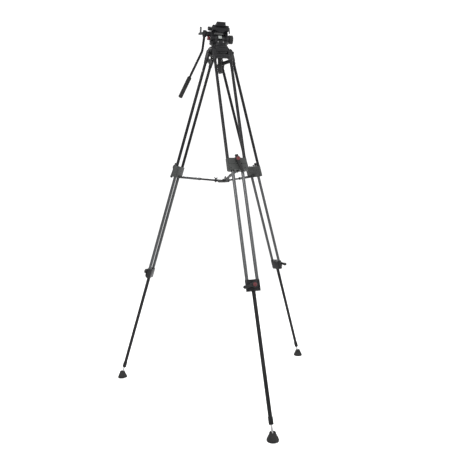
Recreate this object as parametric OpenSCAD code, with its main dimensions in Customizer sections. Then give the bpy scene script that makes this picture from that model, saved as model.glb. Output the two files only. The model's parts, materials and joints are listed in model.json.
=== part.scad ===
// Two-stage twin-tube tripod with a mid-level spreader and a fluid head in a levelling bowl.
// Millimetres, +Z up. The origin lies on the floor, at the middle of the box round the tripod.
// Leg 0 points along -Y, and the other two stand 120 degrees to each side of it.

/* [Stance] */
// Lean of each open leg from the vertical, in degrees
leg_open = 18.56; // [12:0.1:24]
// Closing travel of each leg, in degrees
fold_angle = 13; // [8:0.5:16]
// Distance of each leg hinge from the tripod's axis
hinge_r = 42; // [40:0.5:60]
// Hinge to the middle of the mid clamp, along the leg
upper_len = 574; // [450:1:720]
// Mid clamp to lower clamp, along the leg
middle_len = 520; // [400:1:660]
// Lower clamp to the ankle ball, along the leg
lower_len = 548; // [420:1:700]

/* [Tubes] */
// Radius of the upper and middle tubes
twin_r = 7; // [5:0.1:9]
// Radius of the single lower tube
single_r = 8; // [6:0.1:10]
// Wall thickness of the leg tubes
tube_wall = 1.3; // [0.8:0.1:2.5]
// Metal left between an upper tube's socket and the middle tube's bore
web = 1.7; // [1.2:0.1:4]
// Spacing of the two middle tubes, centre to centre
middle_gap = 43.4; // [40:0.2:60]

/* [Crown] */
// Radius of the ball seat in the bowl
bowl_r = 37.5; // [34:0.5:50]
// Radial thickness of the bowl's shell
bowl_wall = 4; // [3:0.5:8]
// Width of the bowl's rim band outside the seat
rim_band = 6; // [4:0.5:12]
// Height of the bowl's rim band
rim_h = 9; // [6:0.5:16]
// Height of the bowl's rim above the leg hinges
rim_rise = 31.4; // [28:0.2:45]
// Width of the crown's lug between the yoke's ears
lug_w = 56; // [44:1:64]
// Radius of the crown's lugs round the hinge bolts
lug_r = 9.5; // [8:0.5:14]
// Radius of the hinge bolts
bolt_r = 4; // [3:0.1:6]
// Radius of the opening at the bottom of the bowl
bowl_opening_r = 16; // [14:0.5:20]

/* [Clamps] */
// Height of the mid clamp along the leg
mid_clamp_h = 55; // [40:1:80]
// Depth of the mid clamp from its inner to its outer face
mid_clamp_d = 25; // [22:0.5:36]
// Height of the lower clamp along the leg
lower_clamp_h = 46; // [34:1:70]
// Depth of the lower clamp from its inner to its outer face
lower_clamp_d = 23; // [21:0.5:34]
// Wall round the tubes at the clamps' rounded ends
clamp_wall = 1.8; // [1.4:0.1:4]
// Height of the mid lever's stud above the mid clamp's middle
mid_lever_rise = 17; // [0:1:20]
// Length of the mid clamp's lever
mid_lever_len = 54; // [40:1:70]
// Length of the lower clamp's lever
lower_lever_len = 48; // [36:1:60]
// Radius of the clamp levers' hubs
lever_hub_r = 11.5; // [9:0.5:14]
// Radius of the clamp levers' studs
stud_r = 4; // [3:0.1:5]

/* [Feet] */
// Radius of the rubber foot pads
pad_r = 23; // [18:0.5:35]
// Height of the ankle ball's centre above the floor
ankle_z = 20; // [18:0.5:30]
// Radius of the ankle ball
ankle_ball_r = 8; // [7:0.5:10]
// Radius of the ankle's steel stem
stem_r = 4.4; // [3:0.1:5]
// Largest lean of the stem in the foot, in degrees
ankle_lean = 24; // [20:1:26]

/* [Spreader] */
// Distance of the arm hinges below the mid clamp's middle, along the leg
bracket_drop = 20; // [10:1:22]
// Distance of the arm hinges inwards from the leg's centre plane
bracket_in = 24; // [22:0.5:36]
// Radius of the arms' hinge circle on the hub
hub_pin_r = 18; // [17:0.5:30]
// Fall of an open arm from the leg to the hub
arm_drop = 25; // [15:1:40]
// Length that the arm keeps inside its sleeve when it is drawn out
arm_engage = 13.5; // [8:0.5:30]
// Outer radius of the arm's sleeve
sleeve_r = 6; // [5:0.1:8]
// Radius of the arm's rod
rod_r = 4.7; // [3.5:0.1:6]

/* [Fluid head] */
// Height of the tilt axis above the bowl's rim
tilt_rise = 36; // [34:0.5:50]
// Radius of the head's neck
neck_r = 33.5; // [28:0.5:36]
// Radius of the fixed barrel round the tilt axle
barrel_r = 19.5; // [16:0.5:21]
// Half width of the fixed barrel
barrel_half_w = 24; // [18:0.5:30]
// Half width of the head over the cradle's cheeks
cheek_half_w = 44; // [40:0.5:60]
// Radius of the tilt axle
axle_r = 6; // [4:0.1:8]
// Half width of the top platform
deck_half_w = 38.5; // [34:0.5:50]
// Length of the top platform
deck_len = 90; // [70:1:130]
// Thickness of the top platform
deck_h = 23; // [18:0.5:32]
// Height of the platform's underside above the tilt axis
deck_rise = 25; // [25:0.5:32]
// Half width of the camera plate
plate_half_w = 20.3; // [16:0.1:28]
// Length of the camera plate
plate_len = 100; // [70:1:140]
// Height of the camera plate above the platform
plate_h = 11; // [8:0.5:16]
// Radius of the camera screw's thread
screw_r = 3.175; // [3.175, 4.7625]
// Thread of the camera screw above the plate
screw_out = 5.5; // [4:0.5:8]

/* [Pan handle] */
// Distance of the handle from the head's middle plane
handle_x = 68; // [64:0.5:90]
// Height of the handle's rosette above the tilt axis
rosette_rise = 20; // [12:0.5:26]
// Lean of the handle backwards from the vertical, in degrees
handle_lean = 43.3; // [20:0.5:70]
// Length of the handle from the rosette to the bend
handle_top_len = 83; // [60:1:120]
// Outward bend of the handle, in degrees
handle_bend = 18.5; // [0:0.5:30]
// Length of the handle from the bend to its end
handle_low_len = 262; // [180:1:360]
// Radius of the handle's tube
handle_r = 6; // [4.5:0.1:8]
// Length of the rubber grip
grip_len = 117; // [80:1:150]
// Radius of the rubber grip
grip_r = 10.8; // [9:0.1:16]

/* [Hidden] */
$fn = 48;

// fits and clearances
seat = 0.02;    // glued or pressed parts, radial
fit = 0.05;     // turning pins and shafts, radial
slide = 0.3;    // sliding tubes and parts that pass each other
eps = 0.5;      // overshoot of a cut past a face

// colours
black = [0.07, 0.07, 0.08];
dark = [0.2, 0.21, 0.21];
grey = [0.42, 0.43, 0.43];
steel = [0.75, 0.76, 0.78];
red = [0.62, 0.1, 0.12];

// stance
leg_az = [-90, 30, 150];
leg_len = upper_len + middle_len + lower_len;
hinge_z = ankle_z + leg_len * cos(leg_open);
foot_circle_r = hinge_r + leg_len * sin(leg_open);
axis_y = foot_circle_r / 4;
rim_z = hinge_z + rim_rise;
mid_z = -upper_len;
low_z = -(upper_len + middle_len);
ball_z = -leg_len;

// tubes: the upper pair stands outside the middle pair
upper_gap = middle_gap + 2 * (2 * twin_r + seat + slide + web);
socket_depth = 18;

// yoke
ear_w = 2 * (twin_r + clamp_wall);
ear_in = lug_w / 2 + slide;
ear_out = max(upper_gap / 2 + twin_r + clamp_wall, ear_in + 10);
ear_r = lug_r - 0.5;
yoke_len = 40;
yoke_web_h = 16;
yoke_web_d = 11;
tube_top = -(bolt_r + 10);
bolt_head_r = 6.5;
bolt_head_h = 3.5;

// crown
ball_seat_gap = slide;
ball_drop = 3;
ball_c_z = rim_z - ball_drop;
bowl_out_r = bowl_r + bowl_wall;
rim_r = bowl_r + rim_band;
washer_wall = 3;
washer_angle = 30;
washer_in_r = bowl_out_r + slide;
washer_out_r = washer_in_r + washer_wall;
rod_screw_r = 5;
level_tilt = 8;
tie_len = 76;
tie_neck_len = 30;
tie_r = 11.5;
tie_neck_r = 8.6;

// clamps
clamp_end_r = twin_r + clamp_wall;
bore_wall = 1.6;
lever_t = 9;
lever_w = 14;
lever_gap = 0.3;
boss_h = 4;
cap_h = 3;
mid_lever_turn = 13;
lower_lever_turn = 10;
counter_len = 23;

// stages at rest and their ends
middle_top = mid_z + mid_clamp_h / 2 - 1;
lower_top = low_z + lower_clamp_h / 2 - 1;
stem_show = 18;
collar_h = 27;
tube_end = ball_z + ankle_z - 2 + stem_show;
collar_r = single_r + 1.7;

// feet
sole_h = 6;
cup_r = 14;
cup_top = ankle_z + 12;
cup_lip = 4;

// spreader: hinge point on the leg, in the plane of the leg
bracket_r = hinge_r - bracket_in * cos(leg_open) + (upper_len + bracket_drop) * sin(leg_open);
bracket_z = -bracket_in * sin(leg_open) - (upper_len + bracket_drop) * cos(leg_open);
arm_run = bracket_r - hub_pin_r;
arm_len = norm([arm_run, arm_drop]);
arm_pitch = atan2(arm_drop, arm_run);
pin_r = 2.95;
eye_half_w = 4.9;
eye_r = 6;
cheek_t = 4;
tongue_half_w = 3.9;
tongue_h = 11;
wing_at = 19;
tongue_len = wing_at + 4.5;
tongue_play = 0.8;
rod_play = 1;
sleeve_plug = 9;
// pushed shut, the rod fills the sleeve, so both halves grow with the arm
arm_closed = (arm_len + arm_engage + tongue_len + tongue_play + sleeve_plug + rod_play) / 2;
sleeve_len = arm_closed - tongue_len - tongue_play;
rod_len = arm_closed - sleeve_plug - rod_play;
hub_cheek_t = 2.5;
hub_cheek_r = 4.5;
hub_core_r = 4;
hub_core_top = 8;
hub_plate_r = 20;
hub_plate_t = 3;
hub_pin_half_r = 2;
hub_pin_out = tongue_half_w + slide + hub_cheek_t + 1;
// sideways play of the two arms that the front arm's hub moves past
hub_play = 5.4;
wing_screw_r = 2.2;

// fluid head heights and places
tilt_z = rim_z + tilt_rise;
neck_h = 5;
flare_z = rim_z + neck_h + slide;
flare_h = 10.5;
flare_half_w = 46;
flare_half_d = 31;
cheek_r = barrel_r - 1;
cheek_in = barrel_half_w + slide;
deck_z = tilt_z + deck_rise;
deck_top = deck_z + deck_h;
deck_front = -42;
channel_h = 8;
dovetail = 2;
panel_top_half_w = 22;
panel_low_half_w = 10;
panel_drop = 10;
window_half_w = 8;
window_half_h = 6.2;
window_t = 1.2;
boss_front = -(barrel_r + 4);
tilt_knob_r = 8.6;
tilt_knob_h = 12;
cb_knob_r = 19.5;
cb_knob_h = 19;
cb_knob_gap = 3;
axle_proud = 5;
knob_r = 8.5;
knob_h = 14;
knob_stud_r = 3;
knob_stud_in = 9;
lock_y = -16;
lock_z = deck_z + 14;
release_y = -29;
release_z = deck_top - 9;
pan_lock_z = flare_z + 9.2;

// pan handle
rosette_r = 11;
rosette_z = tilt_z + rosette_rise;
rosette_face = handle_x - 18;
clamp_r = handle_r + 3.5;
clamp_len = 26;
wing_x = handle_x + clamp_r + 0.8;
wing_stud_r = 3;
handle_wall = 1.4;

// ---------- placing ----------

// the tripod's vertical axis, with z = 0 on the floor
module on_axis() {
  translate([0, axis_y, 0]) children();
}

// the upright plane of one leg, with its origin on the axis at hinge height
module leg_plane(i) {
  translate([0, axis_y, hinge_z]) rotate([0, 0, leg_az[i]]) children();
}

// one leg's own frame: origin on its hinge, -Z down the leg, +X outwards
module leg_frame(i) {
  leg_plane(i) translate([hinge_r, 0, 0]) rotate([0, -leg_open, 0]) children();
}

// one arm's own frame: origin on its leg hinge, -X towards the hub
module arm_frame(i) {
  leg_plane(i) translate([bracket_r, 0, bracket_z]) rotate([0, -arm_pitch, 0]) children();
}

// the upper end of the pan handle, with -Z down the handle
module handle_frame() {
  on_axis() translate([-handle_x, 0, rosette_z]) rotate([handle_lean, 0, 0]) children();
}

// the lower end of the pan handle, past its bend
module handle_low_frame() {
  handle_frame() translate([0, 0, -handle_top_len]) rotate([0, handle_bend, 0]) children();
}

// ---------- shapes ----------

module rod_x(r, x0, x1) {
  translate([x0, 0, 0]) rotate([0, 90, 0]) cylinder(r = r, h = x1 - x0);
}

module rod_y(r, y0, y1) {
  translate([0, y1, 0]) rotate([90, 0, 0]) cylinder(r = r, h = y1 - y0);
}

module box(x0, x1, y0, y1, z0, z1) {
  translate([x0, y0, z0]) cube([x1 - x0, y1 - y0, z1 - z0]);
}

// a hollow tube from z0 up to z1
module tube(r, wall, z0, z1) {
  translate([0, 0, z0]) difference() {
    cylinder(r = r, h = z1 - z0);
    translate([0, 0, -eps]) cylinder(r = r - wall, h = z1 - z0 + 2 * eps);
  }
}

module both_sides(y) {
  for (s = [-1, 1]) translate([0, s * y, 0]) children();
}

// a flat blade that lies across X, from the stud outwards to a round end
module blade(len, w, t) {
  box(0, t, -w / 2, w / 2, -len + w / 2, 0);
  translate([0, 0, -len + w / 2]) rod_x(w / 2, 0, t);
}

// ---------- crown ----------

module crown_lug() {
  translate([hinge_r, 0, 0]) rod_y(lug_r, -lug_w / 2, lug_w / 2);
  box(bowl_out_r - 13, hinge_r + lug_r, -lug_w / 2, lug_w / 2, 0, rim_rise - rim_h + 1);
}

module crown() {
  color(black) difference() {
    union() {
      on_axis() intersection() {
        translate([0, 0, ball_c_z]) sphere(r = bowl_out_r);
        translate([0, 0, hinge_z - bowl_out_r]) cylinder(r = 2 * bowl_out_r, h = bowl_out_r + rim_rise);
      }
      on_axis() translate([0, 0, rim_z - rim_h]) cylinder(r = rim_r, h = rim_h);
      for (i = [0:2]) leg_plane(i) crown_lug();
    }
    on_axis() translate([0, 0, ball_c_z]) sphere(r = bowl_r);
    on_axis() translate([0, 0, ball_c_z]) cylinder(r = bowl_r, h = ball_drop + eps);
    on_axis() translate([0, 0, hinge_z - bowl_out_r]) cylinder(r = bowl_opening_r, h = bowl_out_r);
    for (i = [0:2]) leg_plane(i) translate([hinge_r, 0, 0]) rod_y(bolt_r + seat, -lug_w, lug_w);
  }
}

module hinge_bolts() {
  head_y = ear_out + slide;
  color(steel) for (i = [0:2]) leg_plane(i) translate([hinge_r, 0, 0]) {
    rod_y(bolt_r, -head_y - 1, head_y + 1);
    for (s = [-1, 1]) rod_y(bolt_head_r, min(s * head_y, s * (head_y + bolt_head_h)),
      max(s * head_y, s * (head_y + bolt_head_h)));
  }
}

// ---------- bowl clamp ----------

module clamp_washer() {
  slot_half = washer_out_r * sin(level_tilt) + rod_screw_r + slide;
  color(dark) on_axis() translate([0, 0, ball_c_z]) difference() {
    intersection() {
      sphere(r = washer_out_r);
      translate([0, 0, -2 * washer_out_r]) cylinder(r = washer_out_r * sin(washer_angle), h = 2 * washer_out_r);
    }
    sphere(r = washer_in_r);
    for (s = [-1, 1]) translate([s * (slot_half - rod_screw_r - slide), 0, -2 * washer_out_r])
      cylinder(r = rod_screw_r + slide, h = 2 * washer_out_r);
    box(-slot_half + rod_screw_r, slot_half - rod_screw_r, -rod_screw_r - slide, rod_screw_r + slide,
      -2 * washer_out_r, 0);
  }
}

module leveling_ball() {
  rod_low = ball_c_z - washer_out_r - tie_neck_len;
  color(dark) on_axis() {
    intersection() {
      translate([0, 0, ball_c_z]) sphere(r = bowl_r - ball_seat_gap);
      translate([0, 0, ball_c_z - bowl_r]) cylinder(r = 2 * bowl_r, h = bowl_r + ball_drop);
    }
    translate([0, 0, rim_z - 1]) cylinder(r = neck_r, h = neck_h + 1);
    translate([0, 0, rod_low]) cylinder(r = rod_screw_r, h = ball_c_z - rod_low - bowl_r / 2);
  }
}

module tie_down_handle() {
  top = ball_c_z - washer_out_r - slide;
  low = top - tie_len;
  color(grey) on_axis() difference() {
    union() {
      translate([0, 0, low]) cylinder(r = tie_r, h = tie_len - tie_neck_len);
      translate([0, 0, top - tie_neck_len - eps]) cylinder(r = tie_neck_r, h = tie_neck_len + 3);
    }
    translate([0, 0, ball_c_z]) sphere(r = washer_out_r + slide);
    translate([0, 0, top - tie_neck_len - 2]) cylinder(r = rod_screw_r + fit, h = tie_neck_len + 9);
  }
}

// ---------- legs ----------

module leg_yoke(i) {
  color(black) leg_frame(i) difference() {
    union() {
      for (s = [-1, 1]) {
        y0 = s > 0 ? ear_in : -ear_out;
        rod_y(ear_r, y0, y0 + ear_out - ear_in);
        box(-ear_r, ear_r, y0, y0 + ear_out - ear_in, -yoke_len + yoke_web_h, 0);
      }
      both_sides(upper_gap / 2) translate([0, 0, -yoke_len]) cylinder(r = clamp_end_r, h = yoke_len - 4);
      box(-yoke_web_d / 2, yoke_web_d / 2, -upper_gap / 2, upper_gap / 2,
        -yoke_len + 2, -yoke_len + 2 + yoke_web_h);
    }
    rod_y(bolt_r + fit, -ear_out - eps, ear_out + eps);
    both_sides(upper_gap / 2) translate([0, 0, -yoke_len - eps])
      cylinder(r = twin_r + seat, h = yoke_len + eps + tube_top);
    // the lug turns between the ears
    rod_y(lug_r + slide, -ear_in, ear_in);
  }
}

module upper_tubes(i) {
  color(black) leg_frame(i) both_sides(upper_gap / 2)
    tube(twin_r, tube_wall, mid_z - socket_depth, tube_top);
}

module middle_tubes(i) {
  color(dark) leg_frame(i) both_sides(middle_gap / 2)
    tube(twin_r, tube_wall, low_z - socket_depth, middle_top);
}

module arm_bracket() {
  translate([-bracket_in, 0, mid_z - bracket_drop]) {
    for (s = [-1, 1]) {
      y0 = s > 0 ? eye_half_w + slide : -eye_half_w - slide - cheek_t;
      rod_y(eye_r, y0, y0 + cheek_t);
      box(0, bracket_in - mid_clamp_d / 2 + 1, y0, y0 + cheek_t, -eye_r, eye_r);
    }
  }
}

module mid_clamp(i) {
  color(dark) leg_frame(i) {
    difference() {
      union() {
        box(-mid_clamp_d / 2, mid_clamp_d / 2, -upper_gap / 2, upper_gap / 2,
          mid_z - mid_clamp_h / 2, mid_z + mid_clamp_h / 2);
        both_sides(upper_gap / 2) translate([0, 0, mid_z - mid_clamp_h / 2])
          cylinder(r = clamp_end_r, h = mid_clamp_h);
        translate([0, 0, mid_z + mid_lever_rise])
          rod_x(lever_hub_r + 1, mid_clamp_d / 2 - 1, mid_clamp_d / 2 + boss_h);
        arm_bracket();
      }
      both_sides(upper_gap / 2) translate([0, 0, mid_z - socket_depth])
        cylinder(r = twin_r + seat, h = mid_clamp_h);
      both_sides(middle_gap / 2) translate([0, 0, mid_z - mid_clamp_h])
        cylinder(r = twin_r + slide, h = 2 * mid_clamp_h);
      translate([0, 0, mid_z - mid_clamp_h]) cylinder(r = single_r + slide, h = 2 * mid_clamp_h);
      translate([0, 0, mid_z + mid_lever_rise])
        rod_x(stud_r + fit, single_r + slide + bore_wall, mid_clamp_d);
      translate([-bracket_in, 0, mid_z - bracket_drop])
        rod_y(pin_r + seat, -eye_half_w - 2 * cheek_t, eye_half_w + 2 * cheek_t);
    }
    translate([-bracket_in, 0, mid_z - bracket_drop])
      rod_y(pin_r, -eye_half_w - slide - cheek_t - 1, eye_half_w + slide + cheek_t + 1);
  }
}

module lower_clamp(i) {
  color(dark) leg_frame(i) difference() {
    union() {
      box(-lower_clamp_d / 2, lower_clamp_d / 2, -middle_gap / 2, middle_gap / 2,
        low_z - lower_clamp_h / 2, low_z + lower_clamp_h / 2);
      both_sides(middle_gap / 2) translate([0, 0, low_z - lower_clamp_h / 2])
        cylinder(r = clamp_end_r, h = lower_clamp_h);
      translate([0, 0, low_z]) rod_x(lever_hub_r + 2, lower_clamp_d / 2 - 1, lower_clamp_d / 2 + boss_h);
    }
    both_sides(middle_gap / 2) translate([0, 0, low_z - socket_depth])
      cylinder(r = twin_r + seat, h = lower_clamp_h);
    translate([0, 0, low_z - lower_clamp_h]) cylinder(r = single_r + slide, h = 2 * lower_clamp_h);
    translate([0, 0, low_z]) rod_x(stud_r + fit, single_r + slide + bore_wall, lower_clamp_d);
  }
}

// a lever on a stud; the stud starts at stud_in and the hub at hub_in, measured outwards
module clamp_lever(stud_in, hub_in, len, back_len) {
  hub_h = lever_t + 4;
  color(black) {
    rod_x(stud_r, stud_in, hub_in + 1);
    rod_x(lever_hub_r, hub_in, hub_in + hub_h);
    translate([hub_in + 2, 0, 0]) blade(len, lever_w, lever_t);
    if (back_len > 0) translate([hub_in + 2, 0, 0]) rotate([180, 0, 0]) blade(back_len, lever_w, lever_t);
  }
  color(red) rod_x(lever_hub_r - 2, hub_in + hub_h, hub_in + hub_h + cap_h);
}

module mid_lever(i) {
  leg_frame(i) translate([0, 0, mid_z + mid_lever_rise]) rotate([mid_lever_turn, 0, 0])
    clamp_lever(single_r + slide + bore_wall + 0.5, mid_clamp_d / 2 + boss_h + lever_gap,
      mid_lever_len, counter_len);
}

module lower_lever(i) {
  leg_frame(i) translate([0, 0, low_z]) rotate([lower_lever_turn - 90, 0, 0])
    clamp_lever(single_r + slide + bore_wall + 0.5, lower_clamp_d / 2 + boss_h + lever_gap,
      lower_lever_len, 0);
}

module lower_tube(i) {
  color(black) leg_frame(i) {
    tube(single_r, tube_wall, tube_end + 2, lower_top);
    // collar that closes the tube's end
    difference() {
      translate([0, 0, tube_end]) cylinder(r = collar_r, h = collar_h);
      translate([0, 0, tube_end + 2]) cylinder(r = single_r + seat, h = collar_h);
      translate([0, 0, tube_end - eps]) cylinder(r = stem_r + seat, h = 4);
    }
  }
}

module ankle(i) {
  color(steel) leg_frame(i) {
    translate([0, 0, ball_z]) sphere(r = ankle_ball_r);
    translate([0, 0, ball_z]) cylinder(r = stem_r, h = tube_end + 2 + 12 - ball_z);
    translate([0, 0, tube_end + 2.5]) cylinder(r = single_r - tube_wall - seat, h = 10);
  }
}

module foot_pad(i) {
  mouth_low = ankle_z + cup_lip;
  color(black) on_axis() rotate([0, 0, leg_az[i]]) translate([foot_circle_r, 0, 0]) {
    rotate_extrude() polygon([[0, 0], [pad_r - 1.5, 0], [pad_r, 1.5], [pad_r, sole_h], [0, sole_h]]);
    difference() {
      rotate_extrude() polygon([[0, sole_h], [pad_r - 2, sole_h], [pad_r - 3, sole_h + 3],
        [cup_r + 0.5, ankle_z - 4], [cup_r, ankle_z + 4], [cup_r - 2.5, cup_top], [0, cup_top]]);
      translate([0, 0, ankle_z]) sphere(r = ankle_ball_r + 2 * fit);
      translate([0, 0, mouth_low]) cylinder(h = cup_top - mouth_low + eps,
        r1 = cup_lip * tan(ankle_lean) + stem_r / cos(ankle_lean) + slide,
        r2 = (cup_top - ankle_z + eps) * tan(ankle_lean) + stem_r / cos(ankle_lean) + slide);
      translate([0, 0, ankle_z]) cylinder(h = cup_lip + 0.1,
        r = cup_lip * tan(ankle_lean) + stem_r / cos(ankle_lean) + slide);
    }
  }
}

// ---------- spreader ----------

module arm_sleeve(i) {
  color(grey) arm_frame(i) difference() {
    union() {
      rod_y(eye_r, -eye_half_w, eye_half_w);
      box(-eye_r - 3, 0, -eye_half_w, eye_half_w, -eye_r * 0.8, eye_r * 0.8);
      rod_x(sleeve_r, -sleeve_len, -eye_r - 1.5);
      rod_x(sleeve_r + 0.8, -sleeve_len, -sleeve_len + 10);
    }
    rod_y(pin_r + fit, -eye_half_w - eps, eye_half_w + eps);
    rod_x(rod_r + slide / 2, -sleeve_len - eps, -sleeve_plug);
  }
}

module arm_rod(i) {
  color(dark) arm_frame(i) difference() {
    union() {
      translate([-arm_len, 0, 0]) rod_y(tongue_h / 2, -tongue_half_w, tongue_half_w);
      box(-arm_len, -arm_len + tongue_len, -tongue_half_w, tongue_half_w, -tongue_h / 2, tongue_h / 2);
      rod_x(rod_r, -arm_len + tongue_len - 14, -arm_len + rod_len);
    }
    translate([-arm_len + wing_at, 0, -tongue_h])
      cylinder(r = wing_screw_r + fit, h = 2 * tongue_h);
    translate([-arm_len, 0, 0]) rod_y(hub_pin_half_r + seat, -tongue_h, tongue_h);
  }
  // pivot pin: it turns in the hub's front cheeks
  color(steel) arm_frame(i) translate([-arm_len, 0, 0])
    rod_y(hub_pin_half_r, i == 0 ? -hub_pin_out : -tongue_half_w, i == 0 ? hub_pin_out : tongue_half_w);
}

module arm_wing(i) {
  wing_half = 9;
  wing_h = 9;
  base = tongue_h / 2 + slide;
  color(black) arm_frame(i) translate([-arm_len + wing_at, 0, 0]) {
    translate([0, 0, -tongue_h / 2 - 4]) cylinder(r = wing_screw_r, h = tongue_h + 5);
    translate([0, 0, -tongue_h / 2 - 3.6]) cylinder(r = 3.6, h = 3.3);
    translate([0, 0, base]) cylinder(r = 3.9, h = 3);
    translate([0, 1.8, base]) rotate([90, 0, 0]) linear_extrude(height = 3.6)
      polygon([[-3, 0], [3, 0], [wing_half, wing_h - 3], [wing_half - 2, wing_h], [0, wing_h - 4],
        [-wing_half + 2, wing_h], [-wing_half, wing_h - 3]]);
  }
}

module spreader_hub() {
  plate_low = -tongue_h / 2 - slide - hub_plate_t;
  color(dark) translate([0, axis_y, hinge_z + bracket_z - arm_drop]) difference() {
    union() {
      translate([0, 0, plate_low]) cylinder(r = hub_plate_r, h = hub_plate_t);
      translate([0, 0, plate_low]) cylinder(r = hub_core_r, h = hub_core_top - plate_low);
      for (i = [0:2]) rotate([0, 0, leg_az[i]]) for (s = [-1, 1]) {
        gap = tongue_half_w + slide + (i > 0 ? hub_play : 0);
        y0 = s > 0 ? gap : -gap - hub_cheek_t;
        box(hub_core_r + 2, hub_pin_r, y0, y0 + hub_cheek_t, plate_low, hub_cheek_r);
        box(hub_core_r + 2, hub_pin_r + hub_cheek_r, y0, y0 + hub_cheek_t, plate_low, 0);
        translate([hub_pin_r, 0, 0]) rod_y(hub_cheek_r, y0, y0 + hub_cheek_t);
      }
    }
    rotate([0, 0, leg_az[0]]) translate([hub_pin_r, 0, 0])
      rod_y(hub_pin_half_r + fit, -hub_plate_r, hub_plate_r);
  }
}

// ---------- fluid head ----------

module pan_housing() {
  color(black) on_axis() difference() {
    union() {
      intersection() {
        translate([0, 0, flare_z]) cylinder(r1 = neck_r, r2 = flare_half_w + 2, h = flare_h);
        box(-flare_half_w, flare_half_w, -flare_half_d, flare_half_d, flare_z - eps, flare_z + flare_h + eps);
      }
      box(-barrel_half_w + 2, barrel_half_w - 2, -barrel_r + 3, barrel_r - 3,
        flare_z + flare_h - 1, tilt_z);
      translate([0, 0, tilt_z]) rod_x(barrel_r, -barrel_half_w, barrel_half_w);
      box(-window_half_w - 2.5, window_half_w + 2.5, boss_front, 0,
        tilt_z - window_half_h - 1.8, tilt_z + window_half_h + 1.8);
      // lug for the pan lock's stud
      box(-6, 6, flare_half_d - 14, flare_half_d, flare_z + 2, pan_lock_z + 6);
    }
    translate([0, 0, tilt_z]) rod_x(axle_r + seat, -flare_half_w, flare_half_w);
    box(-window_half_w, window_half_w, boss_front - eps, boss_front + window_t,
      tilt_z - window_half_h, tilt_z + window_half_h);
    translate([0, 0, pan_lock_z])
      rod_y(knob_stud_r + fit, flare_half_d - knob_stud_in, flare_half_d + eps);
  }
}

module level_window() {
  color([0.6, 0.63, 0.65]) on_axis()
    box(-window_half_w + seat, window_half_w - seat, boss_front + 0.2, boss_front + window_t,
      tilt_z - window_half_h + seat, tilt_z + window_half_h - seat);
}

module pan_lock_knob() {
  y0 = flare_half_d + slide;
  color(black) on_axis() translate([0, 0, pan_lock_z]) {
    rod_y(knob_stud_r, flare_half_d - knob_stud_in + 1, y0 + 1);
    rod_y(knob_r - 4, y0, y0 + 3.5);
    rod_y(knob_r - 2, y0 + 3.2, y0 + knob_h);
  }
}

module tilt_axle() {
  color(steel) on_axis() translate([0, 0, tilt_z])
    rod_x(axle_r, -cheek_half_w - axle_proud, cheek_half_w + cb_knob_gap + axle_proud);
}

module tilt_lock_knob() {
  x0 = -cheek_half_w - slide;
  color(red) on_axis() translate([0, 0, tilt_z]) difference() {
    rod_x(tilt_knob_r, x0 - tilt_knob_h, x0);
    rod_x(axle_r + fit, -cheek_half_w - axle_proud - slide, 0);
  }
}

module counterbalance_knob() {
  x0 = cheek_half_w + cb_knob_gap;
  color(black) on_axis() translate([0, 0, tilt_z]) difference() {
    union() {
      rod_x(cb_knob_r, x0, x0 + cb_knob_h);
      rod_x(cb_knob_r - 5, cheek_half_w + slide, x0 + 1);
    }
    rod_x(axle_r + fit, 0, x0 + axle_proud + slide);
  }
}

module tilt_cradle() {
  channel_z = deck_top - channel_h;
  color(black) on_axis() difference() {
    union() {
      for (s = [-1, 1]) {
        x0 = s > 0 ? cheek_in : -cheek_half_w;
        translate([0, 0, tilt_z]) rod_x(cheek_r, x0, x0 + cheek_half_w - cheek_in);
        box(x0 + 2, x0 + cheek_half_w - cheek_in - 3, -cheek_r + 4, cheek_r - 4, tilt_z, deck_z + 1);
      }
      box(-deck_half_w, deck_half_w, deck_front, deck_front + deck_len, deck_z, deck_top);
      // tapered panel under the platform's front edge
      translate([0, deck_front + 9, deck_z]) rotate([90, 0, 0]) linear_extrude(height = 8)
        polygon([[-panel_low_half_w, -panel_drop], [panel_low_half_w, -panel_drop],
          [panel_top_half_w, 1], [-panel_top_half_w, 1]]);
      // rosette seat for the pan handle
      translate([0, 0, rosette_z]) rod_x(rosette_r, -rosette_face, -cheek_half_w + 8);
    }
    translate([0, 0, tilt_z]) rod_x(axle_r + fit, -2 * cheek_half_w, 2 * cheek_half_w);
    translate([0, deck_front - eps, channel_z]) rotate([90, 0, 180]) mirror([0, 0, 0])
      linear_extrude(height = deck_len + 2 * eps)
      polygon([[-plate_half_w - dovetail, 0], [plate_half_w + dovetail, 0],
        [plate_half_w + slide, channel_h + eps], [-plate_half_w - slide, channel_h + eps]]);
    translate([0, lock_y, lock_z]) rod_x(knob_stud_r + fit, -deck_half_w - eps, -deck_half_w + knob_stud_in);
    translate([0, release_y, release_z]) rod_x(knob_stud_r + fit, deck_half_w - knob_stud_in, deck_half_w + eps);
  }
}

module camera_plate() {
  channel_z = deck_top - channel_h;
  y0 = deck_front - 10;
  color(dark) on_axis() difference() {
    union() {
      translate([0, y0, channel_z]) rotate([90, 0, 180])
        linear_extrude(height = plate_len)
        polygon([[-plate_half_w - dovetail + 2 * slide, slide], [plate_half_w + dovetail - 2 * slide, slide],
          [plate_half_w - slide, channel_h + slide + eps], [-plate_half_w + slide, channel_h + slide + eps]]);
      box(-plate_half_w, plate_half_w, y0, y0 + plate_len, deck_top + slide, deck_top + plate_h);
    }
    // slot and counterbore for the camera screw
    translate([0, 0, channel_z - eps]) cylinder(r = screw_r + slide, h = channel_h + plate_h + 2 * eps);
    translate([0, 0, channel_z - eps]) cylinder(r = 9, h = channel_h);
  }
}

module camera_screw() {
  z0 = deck_top - channel_h + slide + 1;
  color(steel) on_axis() {
    translate([0, 0, z0]) cylinder(r = 8.5, h = 4);
    // the shank is relieved below the thread, so the thread's wall is the part that shows
    translate([0, 0, z0]) cylinder(r = screw_r - slide, h = deck_top + plate_h + screw_out - 1 - z0);
    translate([0, 0, deck_top + plate_h + slide]) cylinder(r = screw_r, h = screw_out - slide);
  }
}

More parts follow.
